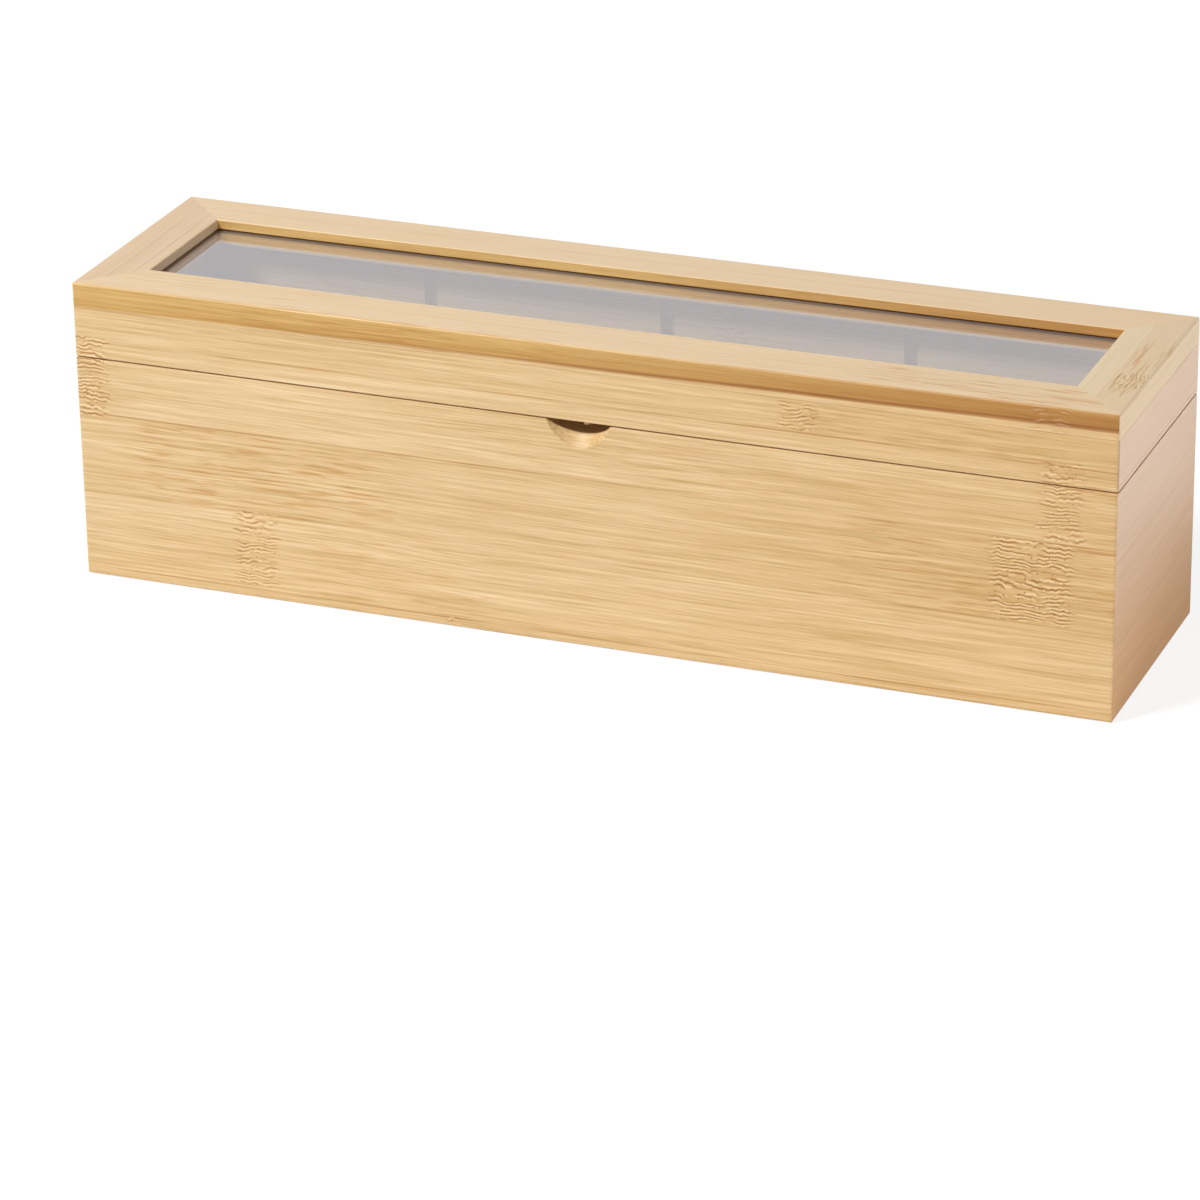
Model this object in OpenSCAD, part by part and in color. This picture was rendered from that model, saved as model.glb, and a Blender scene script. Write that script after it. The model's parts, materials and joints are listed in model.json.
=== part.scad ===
// Bamboo tea bag box: a long box with four compartments and a hinged lid with a glass window.
// Millimetres. X runs along the box, Y to the back, Z up. The origin is under the middle of the box.

/* [Box] */
// Length of the box, left to right
box_l = 330; // [250:1:420]
// Depth of the box, front to back
box_w = 84; // [70:1:130]
// Height of the body, from the table to the middle of the seam
body_h = 72; // [50:1:110]
// Height of the lid, from the middle of the seam to the top
lid_h = 24; // [20:1:50]
// Thickness of the wall boards
wall_t = 10; // [9:0.5:14]
// Height of the gap between the body's rim and the lid
seam_gap = 0.4; // [0.3:0.1:1]
// Radius of the rounded outer edges
edge_r = 1; // [0.5:0.1:2.5]

/* [Bottom] */
// Thickness of the bottom panel
panel_t = 4; // [3:0.5:6]
// Width of the rebate in the walls that the panel is glued into
panel_rebate = 5; // [3:0.5:6.5]
// Room between the panel's edge and the rebate
panel_clear = 0.1; // [0.05:0.05:0.3]

/* [Dividers] */
// Thickness of a divider
divider_t = 4; // [3:0.5:6]
// Depth of the grooves that the dividers stand in
divider_groove = 4; // [2:0.5:5]
// Room on each side of a divider in its groove
divider_clear = 0.1; // [0.05:0.05:0.3]
// How far a divider's top stays below the rim
divider_drop = 5.5; // [1:0.5:12]

/* [Window frame] */
// Width of the mitred rails
rail_w = 18; // [16:0.5:24]
// Height of the lip above the glass
upper_lip_t = 3; // [2:0.5:6]
// Height of the lip under the glass
lower_lip_t = 2.4; // [1.2:0.1:4]
// Radius of the eased inner top edge of the rails
rail_ease_r = 0.4; // [0.2:0.1:1]
// Thickness of the glass
glass_t = 2; // [1.5:0.5:4]
// Depth of the groove that holds the glass
glass_groove = 5; // [3:0.5:6]
// Room above the glass in its groove, which shows as a dark line round the window
glass_clear = 0.6; // [0.1:0.05:1]
// Room between the glass's edge and the groove's floor
glass_edge_clear = 0.5; // [0.2:0.1:1]

/* [Thumb notch] */
// Width of the notch at the rim
notch_w = 20.5; // [16:0.5:40]
// Depth of the notch below the rim at the front
notch_d = 8; // [4:0.5:8]
// Slope of the notch's floor, which rises to the rim inside the wall, in degrees
notch_slope = 42; // [40:1:60]

/* [Hinges] */
// Distance from the end of the box to the middle of a hinge
hinge_inset = 35; // [25:1:60]
// Length of a hinge
hinge_l = 25; // [18:1:36]
// Width of a leaf on the rim, from the back of the wall
leaf_w = 8; // [6.5:0.5:8.5]
// Thickness of a leaf
leaf_t = 0.9; // [0.6:0.1:1.3]
// Room around a leaf in its recess
leaf_clear = 0.1; // [0.05:0.05:0.3]
// Outer radius of the knuckles
knuckle_r = 1.75; // [1.5:0.05:2.5]
// Gap between neighbouring knuckles
knuckle_gap = 0.3; // [0.2:0.05:0.6]
// Gap between the back of the box and the knuckles
barrel_gap = 0.35; // [0.3:0.05:1]
// Radius of the hinge pin
pin_r = 0.8; // [0.5:0.05:1]
// Room around the pin in the lid's knuckles
pin_clear = 0.05; // [0.02:0.01:0.1]
// Radius of the pin's heads
pin_head_r = 1.3; // [1.1:0.05:1.45]
// Length of a pin head past the last knuckle
pin_head_l = 0.6; // [0.3:0.1:1]

/* [Hinge screws] */
// Distance between the two screws of a leaf
screw_pitch = 14; // [10:0.5:15]
// Radius of a screw's shank
screw_r = 1; // [0.8:0.05:1.3]
// Length of a screw with its head
screw_l = 9; // [7:0.5:12]
// Length of a screw's pointed tip
screw_tip_l = 2; // [1:0.5:3]
// Width of the arms of the cross recess
recess_w = 0.4; // [0.3:0.05:0.5]
// Length of the cross recess across the head
recess_l = 2; // [1.6:0.1:2.2]
// Depth of the cross recess
recess_d = 0.5; // [0.3:0.1:0.6]

/* [Hidden] */
$fn = 48;
// A cut reaches this far past the face it opens
past = 1;

// Heights
box_h = body_h + lid_h;
rim_z = body_h - seam_gap / 2;
lid_z = body_h + seam_gap / 2;
frame_t = lower_lip_t + glass_t + glass_clear + upper_lip_t;
frame_z = box_h - frame_t;
glass_z = frame_z + lower_lip_t;

// Inside of the walls
inner_l = box_l - 2 * wall_t;
inner_w = box_w - 2 * wall_t;
groove_w = divider_t + 2 * divider_clear;
divider_pitch = (inner_l + divider_t) / 4;
divider_l = inner_w + 2 * (divider_groove - divider_clear);

// Window
window_l = box_l - 2 * rail_w;
window_w = box_w - 2 * rail_w;
glass_slot_t = glass_t + glass_clear;
glass_reach = glass_groove - glass_edge_clear;

// A circle through the notch's two ends at the rim and its lowest point, seen along the sloping cutter
notch_sight = notch_d * cos(notch_slope);
notch_r = (notch_w * notch_w / 4 + notch_sight * notch_sight) / (2 * notch_sight);

// Hinges
pin_y = box_w / 2 + barrel_gap + knuckle_r;
knuckles = 5;
knuckle_slot = hinge_l / knuckles;
screw_y = box_w / 2 - leaf_w / 2;
screw_head_r = screw_r + leaf_t;

bamboo = [0.90, 0.78, 0.60];
bamboo_top = [0.92, 0.81, 0.68];
brass = [0.80, 0.66, 0.36];
glass = [0.80, 0.82, 0.85, 0.4];

// Outlines

module rounded_square(w, h, low_r, high_r) {
    // Lower left corner at the origin; a radius of 0 leaves the two corners square.
    difference() {
        square([w, h]);
        for (side = [0, 1])
            for (end = [0, 1])
                round_off(w, h, side, end, end == 0 ? low_r : high_r);
    }
}

module round_off(w, h, side, end, r) {
    // What a rounding of radius r takes from one corner of a w by h rectangle
    if (r > 0)
        translate([side * w, end * h])
            mirror([side, 0])
                mirror([0, end])
                    difference() {
                        translate([-past, -past])
                            square([r + past, r + past]);
                        translate([r, r])
                            circle(r);
                    }
}

module soft_block(z0, z1, low_r, high_r) {
    // The whole outer form between two heights, with its outer edges rounded
    height = z1 - z0;
    intersection() {
        translate([-box_l / 2, -box_w / 2, z0])
            linear_extrude(height)
                rounded_square(box_l, box_w, edge_r, edge_r);
        translate([-box_l / 2, 0, z0])
            rotate([90, 0, 90])
                linear_extrude(box_l)
                    translate([-box_w / 2, 0])
                        rounded_square(box_w, height, low_r, high_r);
        translate([0, box_w / 2, z0])
            rotate([90, 0, 0])
                linear_extrude(box_w)
                    translate([-box_l / 2, 0])
                        rounded_square(box_l, height, low_r, high_r);
    }
}

module mitred(depth, z0, z1, side) {
    // A board along one side of the box, mitred at both ends; side is front, rear, left or right
    x = box_l / 2;
    y = box_w / 2;
    sign = side == "front" || side == "left" ? -1 : 1;
    outline = side == "front" || side == "rear"
        ? [[-x, sign * y], [x, sign * y], [x - depth, sign * (y - depth)], [depth - x, sign * (y - depth)]]
        : [[sign * x, -y], [sign * x, y], [sign * (x - depth), y - depth], [sign * (x - depth), depth - y]];
    translate([0, 0, z0])
        linear_extrude(z1 - z0)
            polygon(outline);
}

// Cuts

module divider_grooves(z0, z1) {
    // The six upright grooves in the long walls
    reach = inner_w + 2 * divider_groove;
    for (i = [-1, 0, 1])
        translate([i * divider_pitch - groove_w / 2, -reach / 2, z0])
            cube([groove_w, reach, z1 - z0]);
}

module panel_space() {
    // The rebate round the underside of the body for the bottom panel
    l = inner_l + 2 * panel_rebate;
    w = inner_w + 2 * panel_rebate;
    translate([-l / 2, -w / 2, -past])
        cube([l, w, panel_t + past]);
}

module thumb_notch() {
    // A scoop: a round cutter enters the front of the wall and slopes up until it leaves through the rim
    translate([0, -box_w / 2, rim_z - notch_d])
        rotate([notch_slope - 90, 0, 0])
            translate([0, -notch_r, -past])
                cylinder(r = notch_r, h = notch_d / sin(notch_slope) + 2 * past, $fn = 96);
}

module at_hinges() {
    // Both hinges
    for (side = [-1, 1])
        at_hinge(side)
            children();
}

module at_hinge(side) {
    // One hinge, side -1 on the left and 1 on the right, with the origin at the pin
    translate([side * (box_l / 2 - hinge_inset), pin_y, body_h])
        children();
}

module upside(up) {
    // up 1 keeps a body part, and -1 turns it over the seam to make the lid's part
    mirror([0, 0, up == 1 ? 0 : 1])
        children();
}

module leaf_recess() {
    // In the hinge's frame: the shallow recess in the rim under a body leaf
    translate([-hinge_l / 2 - leaf_clear, box_w / 2 - pin_y - leaf_w - leaf_clear, -seam_gap / 2 - leaf_t])
        cube([hinge_l + 2 * leaf_clear, leaf_w + leaf_clear + past, leaf_t + past]);
}

module at_screws() {
    for (end = [-1, 1])
        translate([end * screw_pitch / 2, screw_y - pin_y, -seam_gap / 2])
            children();
}

module screw_form() {
    // Countersunk screw with its head's top at the origin and its tip down
    rotate_extrude()
        polygon([
            [0, 0],
            [screw_head_r, 0],
            [screw_r, -leaf_t],
            [screw_r, screw_tip_l - screw_l],
            [0, -screw_l]
        ]);
}

module hinge_cuts(up) {
    // What a rear wall loses to both hinges' leaves and screws
    at_hinges()
        upside(up) {
            leaf_recess();
            at_screws()
                screw_form();
        }
}

// Body

module body_board(side) {
    intersection() {
        soft_block(0, rim_z, edge_r, 0);
        mitred(wall_t, 0, rim_z, side);
    }
}

module body_front_wall() {
    color(bamboo)
        difference() {
            body_board("front");
            panel_space();
            divider_grooves(panel_t, rim_z + past);
            thumb_notch();
        }
}

module body_rear_wall() {
    color(bamboo)
        difference() {
            body_board("rear");
            panel_space();
            divider_grooves(panel_t, rim_z + past);
            hinge_cuts(1);
        }
}

module body_end_wall(side) {
    color(bamboo)
        difference() {
            body_board(side);
            panel_space();
        }
}

module bottom_panel() {
    // Glued up into its rebate, flush with the lower edge of the walls
    l = inner_l + 2 * (panel_rebate - panel_clear);
    w = inner_w + 2 * (panel_rebate - panel_clear);
    color(bamboo)
        translate([-l / 2, -w / 2, 0])
            cube([l, w, panel_t]);
}

module divider(place) {
    // place is -1, 0 or 1 from left to right
    color(bamboo)
        translate([place * divider_pitch - divider_t / 2, -divider_l / 2, panel_t])
            cube([divider_t, divider_l, rim_z - divider_drop - panel_t]);
}

// Lid

module lid_board(side) {
    intersection() {
        soft_block(lid_z, box_h, 0, edge_r);
        mitred(wall_t, lid_z, frame_z, side);
    }
}

module lid_front_wall() {
    color(bamboo)
        difference() {
            lid_board("front");
            divider_grooves(lid_z - past, frame_z + past);
        }
}

module lid_rear_wall() {
    color(bamboo)
        difference() {
            lid_board("rear");
            divider_grooves(lid_z - past, frame_z + past);
            hinge_cuts(-1);
        }
}

module lid_end_wall(side) {
    color(bamboo)
        lid_board(side);
}

module rail_profile_cut() {
    // Section of what a rail loses: the groove for the glass and the rounding of its inner top edge.
    // Its origin is the rail's inner top corner, with the rail to the right.
    translate([-past, glass_z - box_h])
        square([past + glass_groove, glass_slot_t]);
    translate([0, -rail_ease_r])
        round_off(rail_w, rail_ease_r, 0, 1, rail_ease_r);
}

module rail_cut(side) {
    // The section run along one rail, past both of its mitres
    long = side == "front" || side == "rear";
    turn = long ? (side == "rear" ? 0 : 180) : (side == "left" ? 90 : -90);
    reach = (long ? window_w : window_l) / 2;
    length = (long ? box_l : box_w) + 2 * past;
    rotate([0, 0, turn])
        translate([-length / 2, reach, box_h])
            rotate([90, 0, 90])
                linear_extrude(length)
                    rail_profile_cut();
}

module frame_rail(side) {
    color(bamboo_top)
        difference() {
            intersection() {
                soft_block(lid_z, box_h, 0, edge_r);
                mitred(rail_w, frame_z, box_h, side);
            }
            rail_cut(side);
        }
}

module window_pane() {
    l = window_l + 2 * glass_reach;
    w = window_w + 2 * glass_reach;
    color(glass)
        translate([-l / 2, -w / 2, glass_z])
            cube([l, w, glass_t]);
}

// Hinges, in the frame of at_hinge

module knuckle(slot, bore_r) {
    // One knuckle in its slot along the barrel, with half a gap on each side that has a neighbour
    x0 = -hinge_l / 2 + slot * knuckle_slot + (slot > 0 ? knuckle_gap / 2 : 0);
    x1 = -hinge_l / 2 + (slot + 1) * knuckle_slot - (slot < knuckles - 1 ? knuckle_gap / 2 : 0);
    difference() {
        union() {
            translate([x0, 0, 0])
                rotate([0, 90, 0])
                    cylinder(r = knuckle_r, h = x1 - x0);
            translate([x0, box_w / 2 - pin_y - past, -seam_gap / 2 - leaf_t])
                cube([x1 - x0, pin_y - box_w / 2 + past, leaf_t]);
        }
        translate([x0 - past, 0, 0])
            rotate([0, 90, 0])
                cylinder(r = bore_r, h = x1 - x0 + 2 * past);
    }
}

module leaf(first, bore_r) {
    // A leaf below the seam, whose knuckles are every other one from first
    difference() {
        union() {
            translate([-hinge_l / 2, box_w / 2 - pin_y - leaf_w, -seam_gap / 2 - leaf_t])
                cube([hinge_l, leaf_w, leaf_t]);
            for (slot = [first : 2 : knuckles - 1])
                knuckle(slot, bore_r);
        }
        at_screws()
            screw_form();
    }
}

module hinge_body_leaf(side) {
    color(brass)
        at_hinge(side)
            leaf(0, pin_r);
}

module hinge_lid_leaf(side) {
    color(brass)
        at_hinge(side)
            upside(-1)
                leaf(1, pin_r + pin_clear);
}

module hinge_pin(side) {
    // A straight pin with a low domed head at each end
    dome_r = (pin_head_r * pin_head_r + pin_head_l * pin_head_l) / (2 * pin_head_l);
    color(brass)
        at_hinge(side)
            rotate([0, 90, 0]) {
                translate([0, 0, -hinge_l / 2])
                    cylinder(r = pin_r, h = hinge_l);
                for (end = [-1, 1])
                    mirror([0, 0, end == 1 ? 0 : 1])
                        intersection() {
                            translate([0, 0, hinge_l / 2])
                                cylinder(r = pin_head_r, h = pin_head_l);
                            translate([0, 0, hinge_l / 2 + pin_head_l - dome_r])
                                sphere(dome_r);
                        }
            }
}

module screw() {
    difference() {
        screw_form();
        for (turn = [0, 90])
            rotate([0, 0, turn])
                translate([-recess_l / 2, -recess_w / 2, -recess_d])
                    cube([recess_l, recess_w, recess_d + past]);
    }
}

module hinge_screws(up) {
    color(brass)
        at_hinges()
            upside(up)
                at_screws()
                    screw();
}

body_front_wall();
body_rear_wall();
body_end_wall("left");  // body_left_wall
body_end_wall("right");  // body_right_wall
bottom_panel();
divider(-1);  // divider_left
divider(0);  // divider_middle
divider(1);  // divider_right
lid_front_wall();
lid_rear_wall();
lid_end_wall("left");  // lid_left_wall
lid_end_wall("right");  // lid_right_wall
frame_rail("front");  // frame_front_rail
frame_rail("rear");  // frame_rear_rail
frame_rail("left");  // frame_left_rail
frame_rail("right");  // frame_right_rail
window_pane();
hinge_body_leaf(-1);  // left_hinge_body_leaf
hinge_lid_leaf(-1);  // left_hinge_lid_leaf
hinge_pin(-1);  // left_hinge_pin
hinge_body_leaf(1);  // right_hinge_body_leaf
hinge_lid_leaf(1);  // right_hinge_lid_leaf
hinge_pin(1);  // right_hinge_pin
hinge_screws(1);  // hinge_body_screws
hinge_screws(-1);  // hinge_lid_screws
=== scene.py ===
# %% [markdown]
# The object is a long tea box of laminated bamboo: mitred walls, three dividers, and a hinged
# lid that is a mitred frame round a pane of glass. The measured form comes packed from the CAD
# source, and this lesson gives it its looks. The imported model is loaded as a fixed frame, in
# metres, with X along the box, Y to the back and Z up. What is made here sits in that frame, so
# nothing has to be fitted by eye.

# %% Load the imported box
import json
import math

import bpy
from mathutils import Matrix, Vector


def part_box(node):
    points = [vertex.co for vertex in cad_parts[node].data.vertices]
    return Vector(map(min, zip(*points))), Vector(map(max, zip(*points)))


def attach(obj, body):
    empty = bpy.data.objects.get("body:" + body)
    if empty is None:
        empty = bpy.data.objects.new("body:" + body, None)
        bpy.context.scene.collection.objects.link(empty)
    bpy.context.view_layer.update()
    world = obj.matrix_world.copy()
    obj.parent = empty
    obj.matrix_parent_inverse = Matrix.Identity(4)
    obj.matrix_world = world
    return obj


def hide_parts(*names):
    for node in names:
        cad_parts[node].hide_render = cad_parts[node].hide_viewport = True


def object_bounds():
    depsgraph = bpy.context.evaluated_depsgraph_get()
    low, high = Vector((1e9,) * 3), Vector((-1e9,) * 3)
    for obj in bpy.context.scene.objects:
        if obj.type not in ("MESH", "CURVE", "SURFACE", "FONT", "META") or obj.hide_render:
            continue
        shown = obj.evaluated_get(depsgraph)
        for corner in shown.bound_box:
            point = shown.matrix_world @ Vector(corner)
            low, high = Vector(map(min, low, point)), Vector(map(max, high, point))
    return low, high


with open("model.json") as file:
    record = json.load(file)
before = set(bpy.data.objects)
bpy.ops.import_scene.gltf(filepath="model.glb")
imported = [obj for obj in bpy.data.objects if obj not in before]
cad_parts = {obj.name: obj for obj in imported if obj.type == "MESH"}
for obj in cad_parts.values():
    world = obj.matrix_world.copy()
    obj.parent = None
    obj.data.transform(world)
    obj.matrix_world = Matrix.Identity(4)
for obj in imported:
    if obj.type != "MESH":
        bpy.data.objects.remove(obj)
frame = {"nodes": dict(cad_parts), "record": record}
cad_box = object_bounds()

# %% [markdown]
# The photograph was taken with a long lens from the front right, a little above the box. The
# camera is rebuilt from the corners of the box: its turn, its tilt, its distance and a roll of
# less than one degree. It looks at a point just off the middle of the base, because the box
# isn't in the middle of the picture.

# %% The photograph's camera
TURN, TILT, ROLL = math.radians(21.40), math.radians(23.57), math.radians(-0.90)
DISTANCE = 1.623
LENS = 158.79
AIM_RIGHT, AIM_UP = -0.0099, -0.0022

back = Vector((math.sin(TURN) * math.cos(TILT), -math.cos(TURN) * math.cos(TILT), math.sin(TILT)))
right = Vector((math.cos(TURN), math.sin(TURN), 0))
up = back.cross(right)
rolled_right = right * math.cos(ROLL) + up * math.sin(ROLL)
rolled_up = up * math.cos(ROLL) - right * math.sin(ROLL)
looked_at = rolled_right * AIM_RIGHT + rolled_up * AIM_UP

camera = bpy.data.objects.new("Camera", bpy.data.cameras.new("Camera"))
bpy.context.scene.collection.objects.link(camera)
camera.data.sensor_width = 36
camera.data.lens = LENS
camera.data.clip_start, camera.data.clip_end = 0.05, 20
camera.location = back * DISTANCE
sight = (looked_at - camera.location).to_track_quat("-Z", "Y").to_matrix()
camera.rotation_euler = (sight @ Matrix.Rotation(ROLL, 3, "Z")).to_euler()
bpy.context.scene.camera = camera
print("camera at", [round(c, 3) for c in camera.location])

# %% [markdown]
# Every material below is a tree of shader nodes. A few short helpers keep the trees readable:
# one adds a node, sets its values and links its inputs, and others count, fade, mix and stain. One
# more turns a colour as a picture editor shows it into the linear colour that the shaders count in.

# %% Helpers for shader nodes
def linear(red, green, blue):
    """A colour given as 0 to 255 in sRGB, as linear RGBA"""
    steps = [c / 255 for c in (red, green, blue)]
    return [c / 12.92 if c <= 0.04045 else ((c + 0.055) / 1.055) ** 2.4 for c in steps] + [1]


def new_material(name):
    """A material with an empty tree, and its output"""
    material = bpy.data.materials.new(name)
    material.use_nodes = True
    tree = material.node_tree
    tree.nodes.clear()
    return material, tree, tree.nodes.new("ShaderNodeOutputMaterial")


def node(tree, kind, inputs=None, **settings):
    """Adds a node. Inputs are plain values, or output sockets to link."""
    made = tree.nodes.new("ShaderNode" + kind)
    for key, value in settings.items():
        setattr(made, key, value)
    for key, value in (inputs or {}).items():
        if isinstance(value, bpy.types.NodeSocket):
            tree.links.new(value, made.inputs[key])
        else:
            made.inputs[key].default_value = value
    return made


def sums(tree, operation, *values):
    """A Math node's result"""
    return node(tree, "Math", dict(enumerate(values)), operation=operation).outputs[0]


def fade(tree, value, start, end, low=0.0, high=1.0):
    """Goes smoothly from low to high while value goes from start to end"""
    made = node(
        tree,
        "MapRange",
        {"Value": value, "From Min": start, "From Max": end, "To Min": low, "To Max": high},
        interpolation_type="SMOOTHSTEP",
    )
    return made.outputs["Result"]


def tint(tree, blend, amount, first, second):
    """Two colours mixed, multiplied or otherwise blended"""
    made = tree.nodes.new("ShaderNodeMix")
    made.data_type = "RGBA"
    made.blend_type = blend
    for socket, value in (("Factor_Float", amount), ("A_Color", first), ("B_Color", second)):
        target = next(s for s in made.inputs if s.identifier == socket)
        if isinstance(value, bpy.types.NodeSocket):
            tree.links.new(value, target)
        else:
            target.default_value = value
    return next(s for s in made.outputs if s.identifier == "Result_Color")


def stain(tree, colour, amount, tone):
    """A colour multiplied by an sRGB tone, by that amount"""
    return tint(tree, "MULTIPLY", amount, colour, linear(*tone))


def ramp(tree, value, stops, interpolation="LINEAR"):
    """A colour ramp: stops are (position, linear colour)"""
    made = node(tree, "ValToRGB", {"Fac": value})
    made.color_ramp.interpolation = interpolation
    elements = made.color_ramp.elements
    elements.remove(elements[1])
    elements[0].position, elements[0].color = stops[0]
    for position, colour in stops[1:]:
        elements.new(position).color = colour
    return made.outputs["Color"]


print("helpers ready; sRGB 128 is", round(linear(128, 0, 0)[0], 3), "linear")

# %% [markdown]
# The box stands on a plain white sweep, lit as in a product photograph. The background is made
# white for the camera, for reflections and for what is seen through glass, and not by more light
# on the box. Close to the box the floor keeps the shadow, and further out its own glow makes it
# plain white. Gloss on the end wall mirrors the shaded floor beside it, so for reflections the
# floor glows only further out. Higher up, where the sweep ends, glass mirrors a greyer room.

# %% Floor and sky
bpy.context.scene.view_settings.view_transform = "Standard"


def background_rays(tree):
    """1 for what the camera sees, and 1 for what glass and gloss show"""
    path = node(tree, "LightPath").outputs
    mirrored = sums(tree, "MAXIMUM", path["Is Glossy Ray"], path["Is Transmission Ray"])
    return path["Is Camera Ray"], mirrored


FLOOR_SIZE, FLOOR_Z = 8, -0.0002
CAMERA_SHARE = 0.75
bpy.ops.mesh.primitive_plane_add(size=FLOOR_SIZE, location=(0, 0, FLOOR_Z))
floor = bpy.context.object
floor.name = "floor"

paper, tree, output = new_material("white_paper")
camera_ray, mirror_ray = background_rays(tree)
place = node(tree, "TexCoord").outputs["Object"]
away = node(tree, "VectorMath", {0: place}, operation="LENGTH").outputs["Value"]
matt = node(tree, "BsdfDiffuse", {"Color": (0.9, 0.9, 0.9, 1)})
strength = fade(tree, away, start=0.25, end=0.7, low=1.12, high=1.45)
glow = node(tree, "Emission", {"Color": (1, 1, 1, 1), "Strength": strength})
for_camera = sums(tree, "MULTIPLY", camera_ray, CAMERA_SHARE)
mirror_share = fade(tree, away, start=0.1, end=0.6, low=0.12, high=0.75)
for_mirrors = sums(tree, "MULTIPLY", mirror_ray, mirror_share)
share = sums(tree, "MAXIMUM", for_camera, for_mirrors)
shown = node(tree, "MixShader", {0: share, 1: matt.outputs[0], 2: glow.outputs[0]})
tree.links.new(shown.outputs[0], output.inputs["Surface"])
floor.data.materials.append(paper)

SKY_FILL = 0.22
world = bpy.data.worlds.new("studio")
bpy.context.scene.world = world
world.use_nodes = True
tree = world.node_tree
tree.nodes.clear()
camera_ray, mirror_ray = background_rays(tree)
upwards = node(tree, "SeparateXYZ", {0: node(tree, "TexCoord").outputs["Generated"]}).outputs["Z"]
greyer = fade(tree, upwards, start=0.05, end=0.35, low=1, high=0.64)
room = sums(tree, "MULTIPLY", mirror_ray, greyer)
strength = sums(tree, "MAXIMUM", sums(tree, "MAXIMUM", camera_ray, room), SKY_FILL)
sky = node(tree, "Background", {"Color": (1, 1, 1, 1), "Strength": strength})
output = tree.nodes.new("ShaderNodeOutputWorld")
tree.links.new(sky.outputs[0], output.inputs["Surface"])
print("sky fill", SKY_FILL)

# %% [markdown]
# The shadows inside the lid show where the main light comes from: 37 degrees to the left of
# straight ahead and 46 degrees up, from a lamp that looks about 15 degrees wide. The end wall
# faces away from it and is still light, while the sunk edges of the window are dark. So the
# second light lies low on the right, as a white card does that stands on the table.

# %% Lamps
def soft_lamp(name, middle, target, width, level):
    """A round lamp. Its level is the brightness that it gives a white card at the target."""
    way = Vector(middle) - Vector(target)
    data = bpy.data.lights.new(name, "AREA")
    data.shape = "DISK"
    data.size = width
    data.energy = level * math.pi**2 * way.length_squared
    lamp = bpy.data.objects.new(name, data)
    bpy.context.scene.collection.objects.link(lamp)
    lamp.location = middle
    lamp.rotation_euler = way.to_track_quat("Z", "Y").to_euler()
    lamp.visible_camera = False
    print(name, round(data.energy, 2), "W,", width, "m wide")


KEY_FROM = Vector((-0.57, -0.763, 1.0)).normalized()
KEY_DISTANCE = 2.4
BOX_MIDDLE = Vector((0, 0, 0.06))
END_MIDDLE = Vector((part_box("body_right_wall")[1].x, 0, 0.06))
soft_lamp("softbox", BOX_MIDDLE + KEY_FROM * KEY_DISTANCE, BOX_MIDDLE, width=0.63, level=0.9)
soft_lamp("white card", (0.62, -0.02, 0.07), END_MIDDLE, width=0.2, level=0.42)

# %% [markdown]
# Laminated bamboo is glued up from strips about 25 mm wide. Each strip has its own tone and its
# own fine straight fibres, and every strip shows a knuckle here and there, where the cane had a
# joint: there the fibres curl, and the strip looks embossed. An image can't give that without a
# seam, so the pattern is made of noise in millimetres, stretched along the grain. The same
# function serves every board, with the grain, the strips and the knuckles as its arguments.

# %% The coordinates of a board
# Half the length and half the depth of the box, and the heights of its rim and its top, in mm
HALF_L = round(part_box("body_right_wall")[1].x * 1000, 3)
HALF_W = round(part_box("body_front_wall")[0].y * -1000, 3)
RIM = round(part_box("body_front_wall")[1].z * 1000, 3)
TOP = round(cad_box[1].z * 1000, 3)
# How far apart two boards are cut from the same noise, in mm
SEED_SHIFT = 731.0
# More than any board is high, in mm
SPAN = 100


def millimetres(tree):
    """Object coordinates along X, Y and Z, in mm"""
    place = node(tree, "TexCoord").outputs["Object"]
    parts = node(tree, "SeparateXYZ", {0: place}).outputs
    return [sums(tree, "MULTIPLY", part, 1000) for part in parts]


def grain_space(tree, grain, seed):
    """The place in the board's own noise, and along the fibres, across them and up, in mm"""
    x, y, z = millimetres(tree)
    along, across = (x, y) if grain == "X" else (y, x)
    return sums(tree, "ADD", along, seed * SEED_SHIFT), along, across, z


def fibres(tree, long, across, z, shift, stretch, thickness, detail):
    """Noise drawn out along the fibres: lines of about that length and thickness in mm"""
    vector = node(
        tree,
        "CombineXYZ",
        {
            0: sums(tree, "DIVIDE", long, stretch),
            1: sums(tree, "MULTIPLY_ADD", across, 1 / thickness, shift),
            2: sums(tree, "MULTIPLY_ADD", z, 1 / thickness, shift),
        },
    )
    noise = node(
        tree,
        "TexNoise",
        {"Vector": vector.outputs[0], "Scale": 1.0, "Detail": detail, "Roughness": 0.6},
    )
    return noise.outputs["Fac"]


def steps_of(tree, value, steps):
    """Colours that change at given places, in mm, along a value"""
    places = [(start / SPAN, linear(*colour)) for start, colour in steps]
    return ramp(tree, sums(tree, "DIVIDE", value, SPAN), places, "CONSTANT")


print("half length, half depth, rim and top in mm:", HALF_L, HALF_W, RIM, TOP)


# %% [markdown]
# A knuckle, and a patch of darker flame-like fibres beside it, are marked in the same way: by
# their middle along and across the grain, half their size and their strength. Their sides are
# ragged, and they stop sharply at the edges of the strip.

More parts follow.
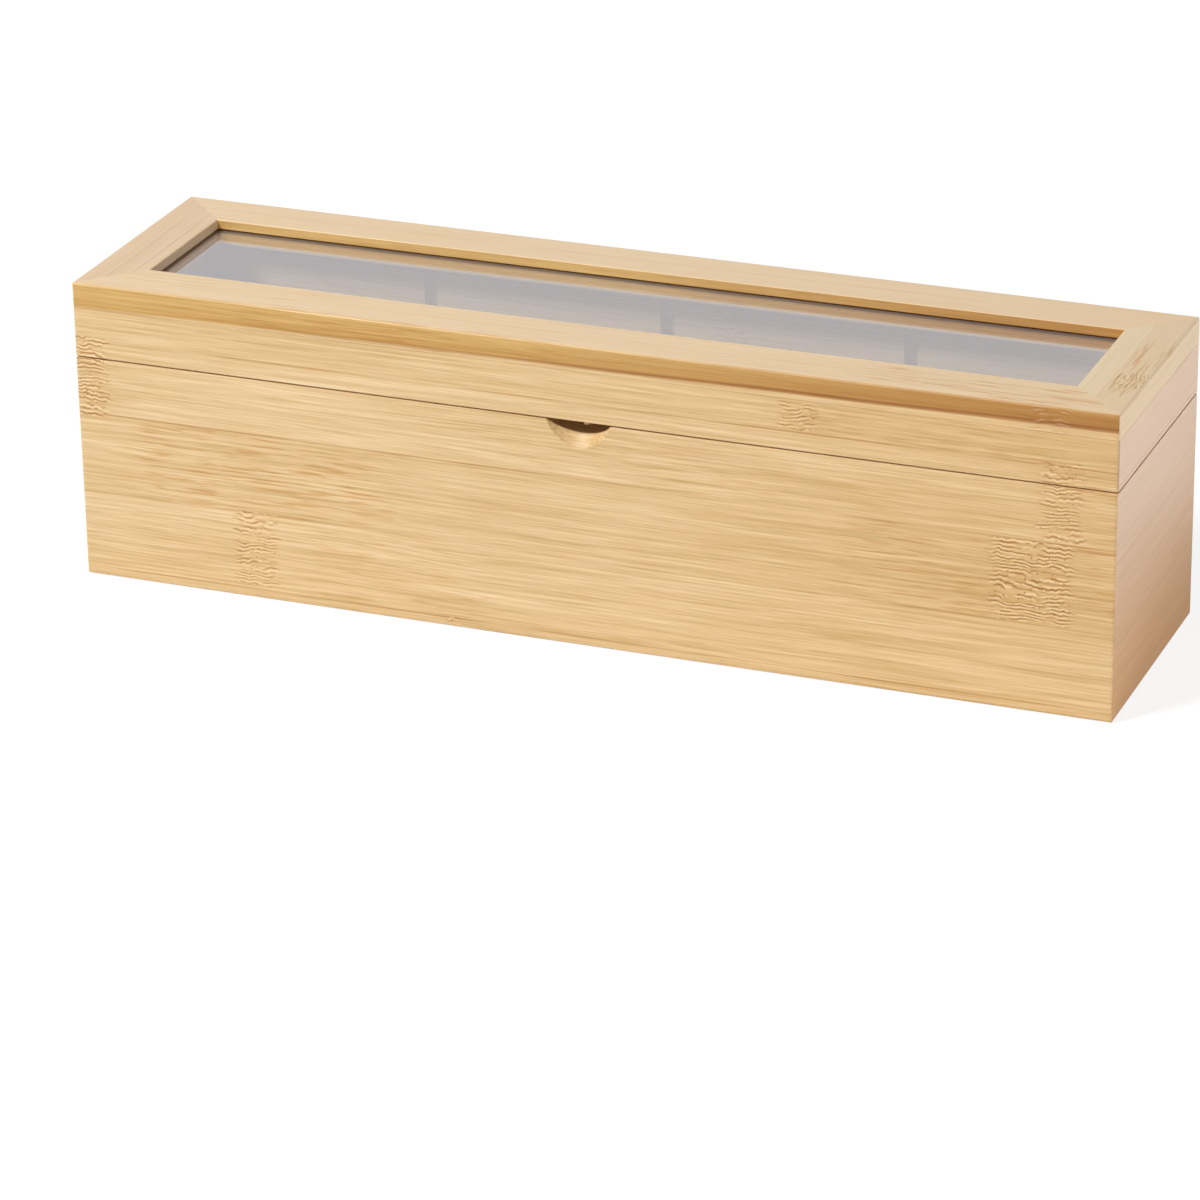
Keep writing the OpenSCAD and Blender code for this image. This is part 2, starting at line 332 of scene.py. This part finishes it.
# %% Where the knuckles and flames are
def patches(tree, along, over, ragged, places):
    """The strength inside the places of a board, and 0 outside"""
    total = 0.0
    shaken = sums(tree, "ADD", along, ragged)
    for middle, level, half_long, half_wide, strength in places:
        aside = sums(tree, "ABSOLUTE", sums(tree, "SUBTRACT", shaken, middle))
        beside = sums(tree, "ABSOLUTE", sums(tree, "SUBTRACT", over, level))
        column = fade(tree, aside, half_long * 0.7, half_long * 1.15, strength, 0)
        height = fade(tree, beside, half_wide - 0.6, half_wide + 0.2, 1, 0)
        mark = sums(tree, "MULTIPLY", column, height)
        total = mark if total == 0.0 else sums(tree, "MAXIMUM", total, mark)
    return total


print("a place is: middle, level, half length, half width, strength")

# %% [markdown]
# In a knuckle the fibres run in wavy rows about 1.4 mm apart. A sine over the rows, bent by
# noise, gives lines that curl as the real ones do, and a second noise breaks them into dashes.
# A row has a dark side, a dark fibre with painted shade, and a pale side, a painted highlight,
# which together make it look raised; small dark dots are the cut ends of vessels.

# %% Curled fibres of a knuckle
ROW_PITCH = 1.35


def curled_rows(tree, long, across, z, own):
    """The dark sides (dark fibre and painted shade), the pale sides (painted highlight) and the dots of
    the rows, each from 0 to 1
    """
    zigzag = fibres(tree, long, across, z, shift=5.0, stretch=3.2, thickness=6.5, detail=1)
    arc = fibres(tree, long, across, z, shift=8.0, stretch=17, thickness=8, detail=0)
    rows = sums(tree, "DIVIDE", sums(tree, "ADD", across, z), ROW_PITCH)
    rows = sums(tree, "MULTIPLY_ADD", zigzag, 1.8, sums(tree, "MULTIPLY_ADD", arc, 3, rows))
    wave = sums(tree, "SINE", sums(tree, "MULTIPLY", rows, 2 * math.pi))
    breaks = fibres(tree, long, across, z, shift=own, stretch=6, thickness=1.3, detail=1)
    dashes = fade(tree, breaks, 0.38, 0.56)
    dark_fibre_and_shade = sums(tree, "MULTIPLY", fade(tree, wave, 0.2, 1.0), dashes)
    painted_light = sums(tree, "MULTIPLY", fade(tree, wave, 0.0, -1.0), dashes)
    vessels = fibres(tree, long, across, z, shift=11.0, stretch=0.9, thickness=0.7, detail=0)
    dots = fade(tree, vessels, 0.70, 0.78)
    return dark_fibre_and_shade, painted_light, dots


print("rows of a knuckle:", ROW_PITCH, "mm apart")

# %% [markdown]
# The colour starts from three sizes of fibre: soft bands, fine lines and hair lines. Together
# they pick a colour between a darker and a paler straw. The strip's own tone, the glue line
# beside it, the flames and the knuckles come on top. A board can also drift in tone along its
# length, or take a painted wash of light: a pale sheen up high and a darker golden shade low down.
# The satin lacquer is an even gloss of medium roughness, slightly duller on the dark fibres, and a
# very low bump keeps it from looking like film.

# %% The bamboo itself
# Length and thickness in mm, and the detail, of soft bands, fine lines and hair lines
FIBRE_SIZES = [(150, 5, 2), (52, 0.8, 3), (20, 0.36, 2)]
STRAW = [
    (0.1, (207, 172, 114)),
    (0.4, (223, 191, 141)),
    (0.6, (230, 199, 151)),
    (0.9, (241, 216, 173)),
]


def bamboo(
    name,
    grain,
    strips,
    over="Z",
    knuckles=(),
    flames=(),
    seed=0.0,
    contrast=1.0,
    painted_light_wash=None,
    drift=None,
    detail=None,
):
    """Strips are (start in mm, colour) over the height or the width of a board"""
    material, tree, output = new_material(name)
    long, along, across, z = grain_space(tree, grain, seed)
    if over == "Z":
        level = z
    else:
        # on a rail the strips are counted from its outer edge
        outer = HALF_W if grain == "X" else HALF_L
        level = sums(tree, "SUBTRACT", outer, sums(tree, "ABSOLUTE", across))
    # each strip has a grey of its own, which shifts its noise
    greys = [(start, (40 + 31 * i % 200,) * 3) for i, (start, _) in enumerate(strips)]
    own = sums(tree, "MULTIPLY", steps_of(tree, level, greys), 90)

    bend = fibres(tree, long, across, z, shift=3.0, stretch=90, thickness=9, detail=1)
    bent = sums(tree, "MULTIPLY_ADD", bend, 2.5, across)
    lifted = sums(tree, "MULTIPLY_ADD", bend, 2.5, z)
    noises = (fibres(tree, long, bent, lifted, own, *size) for size in FIBRE_SIZES)
    bands, lines, hairs = (fade(tree, noise, 0.34, 0.66) for noise in noises)
    shade = sums(tree, "MULTIPLY_ADD", lines, 0.48, sums(tree, "MULTIPLY", hairs, 0.30))
    shade = sums(tree, "MULTIPLY_ADD", bands, 0.22, shade)
    held = sums(tree, "MULTIPLY_ADD", sums(tree, "SUBTRACT", shade, 0.5), contrast, 0.5)
    colour = ramp(tree, held, [(stop, linear(*shown)) for stop, shown in STRAW])
    colour = tint(tree, "MULTIPLY", 1.0, colour, steps_of(tree, level, strips))

    glued = 0.0
    for start, _ in strips[1:]:
        beside = sums(tree, "ABSOLUTE", sums(tree, "SUBTRACT", level, start))
        glued = sums(tree, "MAXIMUM", glued, fade(tree, beside, 0.1, 0.45, 1, 0))
    uneven = fibres(tree, long, across, z, shift=21.0, stretch=45, thickness=30, detail=1)
    broken = fade(tree, uneven, 0.40, 0.60, low=0.1, high=0.7)
    colour = stain(tree, colour, sums(tree, "MULTIPLY", glued, broken), (214, 184, 132))

    # Painted light: from the low tone at the foot to the high tone 75 mm up, a pale sheen above and a
    # darker shade below
    if painted_light_wash:
        amount, low, high = painted_light_wash
        painted_light = tint(tree, "MIX", fade(tree, z, 0, 75), linear(*low), linear(*high))
        colour = tint(tree, "MIX", amount, colour, painted_light)
    if drift:
        start, end, tone = drift
        colour = stain(tree, colour, fade(tree, along, start, end), tone)
    if detail:
        colour = detail(tree, long, along, across, z, colour)

    rough = fibres(tree, long, across, z, shift=9.0, stretch=9, thickness=1.6, detail=1)
    ragged = sums(tree, "MULTIPLY_ADD", rough, 9, -4.5)
    height = sums(tree, "MULTIPLY", lines, 0.5)
    if flames:
        patch = patches(tree, along, level, sums(tree, "MULTIPLY", ragged, 3), flames)
        drawn = fibres(tree, long, bent, lifted, shift=13.0, stretch=17, thickness=0.9, detail=2)
        streak = fade(tree, drawn, 0.50, 0.66)
        colour = stain(tree, colour, sums(tree, "MULTIPLY", patch, streak), (226, 193, 138))
    if knuckles:
        patch = patches(tree, along, level, ragged, knuckles)
        curled = curled_rows(tree, long, across, z, own)
        dark_fibre_and_shade, painted_light, dots = (sums(tree, "MULTIPLY", part, patch) for part in curled)
        colour = stain(tree, colour, sums(tree, "MULTIPLY", patch, 0.3), (242, 224, 188))
        # The dark side of each row is a dark fibre with painted shade, and the pale side is a painted
        # highlight
        colour = stain(tree, colour, sums(tree, "MULTIPLY", dark_fibre_and_shade, 0.9), (200, 158, 98))
        colour = tint(tree, "MIX", sums(tree, "MULTIPLY", painted_light, 0.6), colour, linear(252, 228, 184))
        colour = stain(tree, colour, sums(tree, "MULTIPLY", dots, 0.7), (160, 118, 72))
        height = sums(tree, "SUBTRACT", height, sums(tree, "MULTIPLY", dark_fibre_and_shade, 1.5))

    gloss = fade(tree, shade, 0, 1, low=0.46, high=0.36)
    bump = node(tree, "Bump", {"Strength": 0.25, "Distance": 0.00012, "Height": height})
    finish = node(
        tree,
        "BsdfPrincipled",
        {"Base Color": colour, "Roughness": gloss, "IOR": 1.5, "Normal": bump.outputs[0]},
    )
    tree.links.new(finish.outputs[0], output.inputs["Surface"])
    return material


print("straw tones:", len(STRAW), "fibre lengths in mm:", [length for length, _, _ in FIBRE_SIZES])

# %% [markdown]
# The front of the body and of the lid were sawn from the same glued-up board, so one material
# runs over both and the strips carry on across the seam. The strip lines, the knuckles and the
# more golden right third are where the photograph shows them. The inner half of the thumb notch
# is dark brown there, darker than the lid's shadow renders it, so a painted shadow deepens it.
# Its dark tone fills a block of the wall behind a slant that climbs to the front, along the lid's
# shadow line. So the painted shadow also lies on the rim and on the inner face beside the notch,
# which shows when the lid is open. The rear board gets strips of its own.

# %% Bamboo of the long walls
# Painted shadow in the thumb notch: its half width, and the slope of the lid's shadow line
NOTCH_SHADOW_HALF_W = 10.3
LID_SHADOW_SLOPE = 1.31


def painted_notch_shadow(tree, long, along, across, z, colour):
    """Painted shadow of the lid: a brown tone in the block behind the slant, as wide as the notch and not
    on the lid
    """
    depth = sums(tree, "ADD", across, HALF_W)
    slant = sums(tree, "MULTIPLY_ADD", depth, LID_SHADOW_SLOPE, z)
    aside = sums(tree, "ABSOLUTE", along)
    inside = fade(tree, aside, NOTCH_SHADOW_HALF_W, NOTCH_SHADOW_HALF_W + 0.4, low=1, high=0)
    under_lid = fade(tree, z, RIM + 0.05, RIM + 0.15, low=1, high=0)
    above_foot = fade(tree, z, 66, 66.5)
    behind = sums(tree, "MULTIPLY", fade(tree, slant, 72, 72.7), inside)
    place = sums(tree, "MULTIPLY", behind, under_lid)
    return stain(tree, colour, sums(tree, "MULTIPLY", place, above_foot), (146, 126, 104))


front_bamboo = bamboo(
    "bamboo_front",
    "X",
    strips=[
        (0, (249, 246, 241)),
        (3, (253, 252, 250)),
        (28, (249, 246, 240)),
        (54, (251, 249, 246)),
        (78, (248, 245, 238)),
    ],
    knuckles=[
        (-159.5, 66, 5.5, 13, 0.9),
        (-106.5, 16.3, 7, 12.3, 0.8),
        (68.5, 83, 6, 4.5, 0.8),
        (148.5, 67, 6.5, 12.5, 0.85),
        (140, 41, 13, 13, 1.0),
        (-41, 2, 2, 2, 0.7),
    ],
    flames=[
        (-105, 41, 48, 13, 0.6),
        (105, 41, 26, 13, 0.5),
        (160, 55, 10, 22, 0.6),
        (-60, 16, 30, 12, 0.4),
        (20, 63, 40, 9, 0.3),
        (110, 83, 40, 5, 0.4),
    ],
    seed=1.0,
    contrast=0.85,
    drift=(-40, 175, (254, 248, 237)),
    detail=painted_notch_shadow,
)
rear_bamboo = bamboo(
    "bamboo_rear",
    "X",
    strips=[(0, (249, 246, 240)), (19, (252, 251, 248)), (45, (247, 243, 235)), (70, (250, 248, 243))],
    knuckles=[(-72, 32, 7, 13, 0.8), (96, 57, 8, 12.5, 0.9), (20, 82, 6, 12, 0.6), (-140, 8, 6, 9, 0.6)],
    flames=[(-60, 32, 40, 13, 0.6), (90, 57, 45, 12.5, 0.7), (-110, 82, 30, 12, 0.5)],
    seed=2.0,
)
print("materials so far:", [m.name for m in bpy.data.materials])

# %% [markdown]
# The end walls are short boards with the fibres running front to back. The right one is paler
# than the front, with little grain, and carries painted light: its top is painted pale as a sheen
# of reflected light, and its foot a darker golden as painted shade. In the lid its front corner
# shows the mitre as a dark line.

# %% Bamboo of the end walls
def mitre_line(tree, long, along, across, z, colour):
    """The mitre at the front corner, a little open"""
    opened = fade(tree, along, 0.9 - HALF_W, 0.2 - HALF_W, low=0, high=0.8)
    return stain(tree, colour, opened, (178, 140, 100))


left_bamboo = bamboo(
    "bamboo_left",
    "Y",
    strips=[(0, (248, 244, 236)), (28, (251, 249, 246)), (54, (247, 243, 234)), (78, (250, 248, 244))],
    knuckles=[(12, 40, 5, 12.5, 0.5)],
    flames=[(10, 40, 25, 12.5, 0.5)],
    seed=3.0,
    contrast=0.8,
)
RIGHT_STRIPS = [(0, (250, 246, 240)), (26, (251, 248, 244)), (50, (252, 250, 247)), (74, (253, 252, 250))]
# Painted light on the right end wall: a darker golden shade low down, going to a pale sheen by 75 mm up
RIGHT_SHEEN_AND_SHADE = (0.6, (206, 144, 90), (238, 204, 186))
right_bamboo = bamboo("bamboo_right", "Y", RIGHT_STRIPS, seed=4.0, contrast=0.5, painted_light_wash=RIGHT_SHEEN_AND_SHADE)
right_lid_bamboo = bamboo(
    "bamboo_right_lid",
    "Y",
    RIGHT_STRIPS,
    seed=4.0,
    contrast=0.4,
    painted_light_wash=RIGHT_SHEEN_AND_SHADE,
    detail=mitre_line,
)
print("right wall washed by", RIGHT_SHEEN_AND_SHADE[0])

# %% [markdown]
# The rails of the window frame are ripped from a thicker board. Their flat tops are painted pale,
# as a sheen of reflected light, and the side rails are washed paler all over in the same way, while
# the front and rear edges show the golden, closer fibres of the board's side, with one dark fibre
# low on the front edge. That fibre isn't parallel to the edge: it climbs a few millimetres to the
# right, and under it the rail looks like the lid's wall.

# %% The golden edge of a rail
FIBRE_Z = 89.7


def golden_edge(climb, line_from, line_to):
    """The dark fibre climbs that far along the rail and grows dark between two places"""

    def paint(tree, long, along, across, z, colour):
        waver = fibres(tree, long, across, z, shift=31.0, stretch=110, thickness=4, detail=1)
        soft = sums(tree, "SUBTRACT", waver, 0.5)
        run = sums(tree, "MULTIPLY", along, climb / (2 * HALF_L))
        height = sums(tree, "MULTIPLY_ADD", soft, 1.6, sums(tree, "SUBTRACT", z, run))
        golden = stain(tree, colour, 1.0, (235, 221, 178))
        deeper = stain(tree, golden, fade(tree, along, -40, HALF_L), (226, 206, 180))
        downwards = fade(tree, height, FIBRE_Z + 4.5, FIBRE_Z + 0.5, low=0, high=0.7)
        foot = stain(tree, deeper, downwards, (240, 226, 202))
        edge = tint(tree, "MIX", fade(tree, height, FIBRE_Z - 0.3, FIBRE_Z + 0.5), colour, foot)
        aside = sums(tree, "ABSOLUTE", sums(tree, "SUBTRACT", height, FIBRE_Z))
        darkness = fade(tree, along, line_from, line_to, low=0.1, high=0.95)
        line = sums(tree, "MULTIPLY", fade(tree, aside, 0.15, 0.9, low=1, high=0), darkness)
        edge = stain(tree, edge, line, (200, 164, 112))
        # Painted sheen: the flat top is mixed towards a pale tone
        sheen_top = tint(tree, "MIX", 0.6, colour, linear(255, 226, 188))
        return tint(tree, "MIX", fade(tree, z, TOP - 0.3, TOP), edge, sheen_top)

    return paint


print("dark fibre of the rails at", FIBRE_Z, "mm")

# %% [markdown]
# The front rail carries a small knuckle near its right end. The right rail is glued up of two
# strips: the outer one is tan and has a swirling knot near the front corner, and the inner one
# is pale.

# %% Bamboo of the window frame
front_rail_bamboo = bamboo(
    "bamboo_front_rail",
    "X",
    over="rail",
    strips=[(0, (252, 250, 247)), (9, (253, 252, 250))],
    knuckles=[(144, 1.5, 6, 2.5, 0.35)],
    flames=[(125, 8, 40, 7, 0.7), (-120, 12, 40, 5, 0.3), (-60, 0, 60, 3, 0.5)],
    seed=5.0,
    contrast=0.75,
    drift=(-20, 175, (254, 248, 238)),
    detail=golden_edge(2.6, -150, 60),
)
rear_rail_bamboo = bamboo(
    "bamboo_rear_rail",
    "X",
    over="rail",
    strips=[(0, (252, 250, 247)), (9, (253, 252, 250))],
    seed=6.0,
    contrast=0.6,
    drift=(0, 175, (254, 248, 238)),
    detail=golden_edge(0.5, 60, 200),
)
# The left and right rails take a painted sheen: they lie above 75 mm, so their wash gives them its pale
# tone all over
left_rail_bamboo = bamboo(
    "bamboo_left_rail",
    "Y",
    over="rail",
    strips=[(0, (251, 247, 241)), (8, (249, 244, 237)), (14, (252, 249, 244))],
    seed=7.0,
    contrast=0.6,
    painted_light_wash=(0.45, (226, 190, 150), (250, 220, 194)),
)
right_rail_bamboo = bamboo(
    "bamboo_right_rail",
    "Y",
    over="rail",
    strips=[(0, (238, 222, 196)), (10.5, (255, 255, 252))],
    knuckles=[(-15.5, 5, 5.5, 4.5, 0.8)],
    flames=[(-5, 5, 22, 5, 0.6)],
    seed=8.0,
    contrast=0.6,
    painted_light_wash=(0.55, (226, 190, 150), (255, 234, 200)),
)
print("materials with the rails:", len(bpy.data.materials))

# %% [markdown]
# The bottom and the dividers are thin boards without knuckles. They are plainer and a little
# browner than the walls.

# %% Bamboo of the thin boards
PANEL_STRIPS = [(0, (248, 242, 232)), (18, (250, 246, 239)), (38, (247, 240, 229)), (57, (249, 245, 237))]
bottom_bamboo = bamboo("bamboo_bottom", "X", strips=PANEL_STRIPS, seed=9.0, contrast=0.8)
divider_bamboo = bamboo("bamboo_divider", "Y", strips=PANEL_STRIPS, seed=10.0, contrast=0.8)
print("bamboo materials:", len([m for m in bpy.data.materials if m.name.startswith("bamboo")]))

# %% [markdown]
# A real board has no sharp edges: a touch of sandpaper breaks each one, and that fine facet
# catches the light. The CAD boards are exact but sharp, so each is copied, its triangles are
# merged into flat faces, and a Bevel modifier breaks its edges. The width goes by the kind of
# edge. The rim at the seam is eased most, which shows as a small notch in the outline at the
# corners of the box. The mitre joints stay sharp, because they are glued tight.

# %% Helpers for sanded copies
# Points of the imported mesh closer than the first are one, and so are points that a bevel leaves
# closer than the second, in metres
SAME_POINT, SLIVER = 2e-6, 5e-6
FLAT, SHARP, SMOOTH = math.radians(0.5), math.radians(30), math.radians(40)


def select_only(piece):
    """Makes one object the only selected and the active one"""
    bpy.ops.object.select_all(action="DESELECT")
    piece.select_set(True)
    bpy.context.view_layer.objects.active = piece


def merged_copy(name, new_name):
    """A CAD node's mesh as a new object with shared corners and flat faces"""
    mesh = frame["nodes"][name].data.copy()
    mesh.materials.clear()
    piece = bpy.data.objects.new(new_name, mesh)
    bpy.context.scene.collection.objects.link(piece)
    select_only(piece)
    if mesh.has_custom_normals:
        bpy.ops.mesh.customdata_custom_splitnormals_clear()
    bpy.ops.object.mode_set(mode="EDIT")
    bpy.ops.mesh.select_all(action="SELECT")
    bpy.ops.mesh.remove_doubles(threshold=SAME_POINT)
    bpy.ops.mesh.dissolve_limited(angle_limit=FLAT)
    bpy.ops.object.mode_set(mode="OBJECT")
    return piece


def sharp_edges(mesh):
    """Each edge whose two faces meet sharply, with their normals"""
    faces_of = {}
    for face in mesh.polygons:
        for key in face.edge_keys:
            faces_of.setdefault(key, []).append(face.normal)
    for edge in mesh.edges:
        normals = faces_of.get(tuple(sorted(edge.vertices)), [])
        if len(normals) == 2 and normals[0].angle(normals[1]) > SHARP:
            yield edge, normals


def folded_area(mesh):
    """How much more the triangles of the faces cover than the faces do, in square mm"""
    mesh.calc_loop_triangles()
    return (sum(t.area for t in mesh.loop_triangles) - sum(f.area for f in mesh.polygons)) * 1e6


def break_edges(piece, widest, share_of, segments=2):
    """Bevels the sharp edges. share_of(middle, normals) is the share of the widest bevel."""
    mesh = piece.data
    weights = mesh.attributes.new("bevel_weight_edge", "FLOAT", "EDGE")
    count = 0
    for edge, normals in sharp_edges(mesh):
        ends = [mesh.vertices[i].co for i in edge.vertices]
        weights.data[edge.index].value = share_of((ends[0] + ends[1]) / 2, normals)
        count += 1
    bevel = piece.modifiers.new("broken edges", "BEVEL")
    bevel.limit_method = "WEIGHT"
    bevel.width = widest
    bevel.segments = segments
    bevel.use_clamp_overlap = False
    select_only(piece)
    bpy.ops.object.modifier_apply(modifier=bevel.name)
    bpy.ops.object.mode_set(mode="EDIT")
    bpy.ops.mesh.select_all(action="SELECT")
    bpy.ops.mesh.remove_doubles(threshold=SLIVER)
    bpy.ops.object.mode_set(mode="OBJECT")
    bpy.ops.object.shade_smooth_by_angle(angle=SMOOTH)
    even = piece.modifiers.new("even faces", "WEIGHTED_NORMAL")
    even.keep_sharp = True
    bpy.ops.object.modifier_apply(modifier=even.name)
    return count


def evenly(middle, normals):
    """Every sharp edge gets the widest bevel"""
    return 1.0


SLOTS = {part["node"]: part["material_slot"] for part in frame["record"]["subparts"]}
BODIES = {name: body for body, nodes in frame["record"]["behaviour"]["bodies"].items() for name in nodes}


def stand_in_for(name, piece, material):
    """The piece takes the place of a CAD node, on its body and with its material"""
    piece.data.materials.append(material)
    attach(piece, BODIES[name])
    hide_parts(name)


print("boards ride on", sorted(set(BODIES.values())))

# %% [markdown]
# The boards of the box are done one after the other. An edge at the seam is found by its
# height, and an edge of a mitre by a normal that points half way between X and Y. Two numbers
# show that the copies are sound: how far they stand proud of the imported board, and how much area
# folded faces add.

# %% Sanded boards
BOARD_EASE = 0.0004
RIM_Z, LID_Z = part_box("body_front_wall")[1].z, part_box("lid_front_wall")[0].z


def board_edges(middle, normals):
    """How much of the widest bevel an edge of a board gets"""
    mitre = any(abs(abs(n.x) - abs(n.y)) < 0.02 and abs(n.z) < 0.02 for n in normals)
    if mitre:
        return 0.0
    if abs(middle.z - RIM_Z) < 1e-5 or abs(middle.z - LID_Z) < 1e-5:
        return 1.0
    return 0.5


BOARDS = {
    "body_front_wall": front_bamboo,
    "body_rear_wall": rear_bamboo,
    "body_left_wall": left_bamboo,
    "body_right_wall": right_bamboo,
    "lid_front_wall": front_bamboo,
    "lid_rear_wall": rear_bamboo,
    "lid_left_wall": left_bamboo,
    "lid_right_wall": right_lid_bamboo,
    "frame_front_rail": front_rail_bamboo,
    "frame_rear_rail": rear_rail_bamboo,
    "frame_left_rail": left_rail_bamboo,
    "frame_right_rail": right_rail_bamboo,
    "bottom_panel": bottom_bamboo,
    "divider_left": divider_bamboo,
    "divider_middle": divider_bamboo,
    "divider_right": divider_bamboo,
}
for name, material in BOARDS.items():
    board = merged_copy(name, name + "_sanded")
    edges = break_edges(board, BOARD_EASE, board_edges)
    stand_in_for(name, board, material)
    low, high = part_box(name)
    proud = max(max(low[i] - v.co[i], v.co[i] - high[i]) for v in board.data.vertices for i in range(3))
    folded = folded_area(board.data)
    print(name, edges, "edges, proud by", round(proud, 6), "m, folded", round(folded, 1), "mm2")

# %% [markdown]
# The window is float glass, 2 mm thick. At the camera's low angle it mirrors the white room and
# the inner edge of the frame, and dims what lies under it. Refraction would hide the inside
# from the lamps, so the glass is a clear shader under a mirror that grows towards grazing
# angles, with a veil of dust. Only the outer side of a face reflects, and the upper face mirrors
# more, to stand for both. Dust settles on the upper face, so the lower one is nearly clear and
# lets the lamps light the inside. The pane's edges are ground, as the glazier leaves them.

# %% Glass of the window
PANE_EASE = 0.0003
MIRROR_LOWER, MIRROR_UPPER = 1.2, 2.8
DUST_LOWER, DUST_UPPER = 0.04, 0.30

window_glass, tree, output = new_material("window_glass")
clear = node(tree, "BsdfTransparent", {"Color": (0.96, 0.965, 0.96, 1)})
haze = node(tree, "BsdfDiffuse", {"Color": (0.90, 0.86, 0.80, 1)})
mirror = node(tree, "BsdfGlossy", {"Color": (0.93, 0.93, 1.0, 1), "Roughness": 0.0})
geometry = node(tree, "NewGeometry").outputs
outside = sums(tree, "SUBTRACT", 1.0, geometry["Backfacing"])
place = node(tree, "TexCoord").outputs["Object"]
height = node(tree, "SeparateXYZ", {0: place}).outputs["Z"]
low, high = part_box("window_pane")
upper = sums(tree, "GREATER_THAN", height, (low.z + high.z) / 2)
slant = node(tree, "Fresnel", {"IOR": 1.5}).outputs[0]
strength = fade(tree, upper, 0, 1, MIRROR_LOWER, MIRROR_UPPER)
both_faces = sums(tree, "MINIMUM", sums(tree, "MULTIPLY", slant, strength), 1.0)
dust = fade(tree, upper, 0, 1, DUST_LOWER, DUST_UPPER)
dusty, shiny = (sums(tree, "MULTIPLY", outside, share) for share in (dust, both_faces))
hazy = node(tree, "MixShader", {0: dusty, 1: clear.outputs[0], 2: haze.outputs[0]})
pane_shader = node(tree, "MixShader", {0: shiny, 1: hazy.outputs[0], 2: mirror.outputs[0]})
tree.links.new(pane_shader.outputs[0], output.inputs["Surface"])

pane = merged_copy("window_pane", "window_pane_ground")
break_edges(pane, PANE_EASE, evenly, segments=1)
stand_in_for("window_pane", pane, window_glass)
print("pane", len(pane.data.polygons), "faces")

# %% [markdown]
# The hinges are small pressed brass butts with rolled knuckles. Brass that is handled shows fine
# brushed lines and a duller film in places, and its eased edges catch the light. The lines come
# from noise drawn out along the barrel.

# %% Brass of the hinges
BRASS_EASE = 0.00008

brass, tree, output = new_material("satin_brass")
x, y, z = millimetres(tree)
brushed = fibres(tree, x, y, z, shift=0.0, stretch=6, thickness=0.12, detail=3)
place = node(tree, "TexCoord").outputs["Object"]
film = node(tree, "TexNoise", {"Vector": place, "Scale": 260.0, "Detail": 3.0}).outputs["Fac"]
metal = tint(tree, "MIX", fade(tree, film, 0.35, 0.7), linear(222, 188, 118), linear(190, 152, 84))
metal = stain(tree, metal, fade(tree, brushed, 0.4, 0.7, low=0, high=0.35), (206, 190, 160))
filmed = fade(tree, film, 0.3, 0.7, low=0.22, high=0.38)
dull = sums(tree, "ADD", filmed, fade(tree, brushed, 0.4, 0.7, low=0, high=0.08))
bump = node(tree, "Bump", {"Strength": 0.3, "Distance": 0.00003, "Height": brushed})
finish = node(
    tree,
    "BsdfPrincipled",
    {"Base Color": metal, "Metallic": 1.0, "Roughness": dull, "Normal": bump.outputs[0]},
)
tree.links.new(finish.outputs[0], output.inputs["Surface"])

HINGE_PARTS = [name for name, slot in SLOTS.items() if slot == "hinge_brass"]
for name in HINGE_PARTS:
    part = merged_copy(name, name + "_eased")
    edges = break_edges(part, BRASS_EASE, evenly, segments=1)
    stand_in_for(name, part, brass)
    print(name, edges, "edges eased,", len(part.data.polygons), "faces")
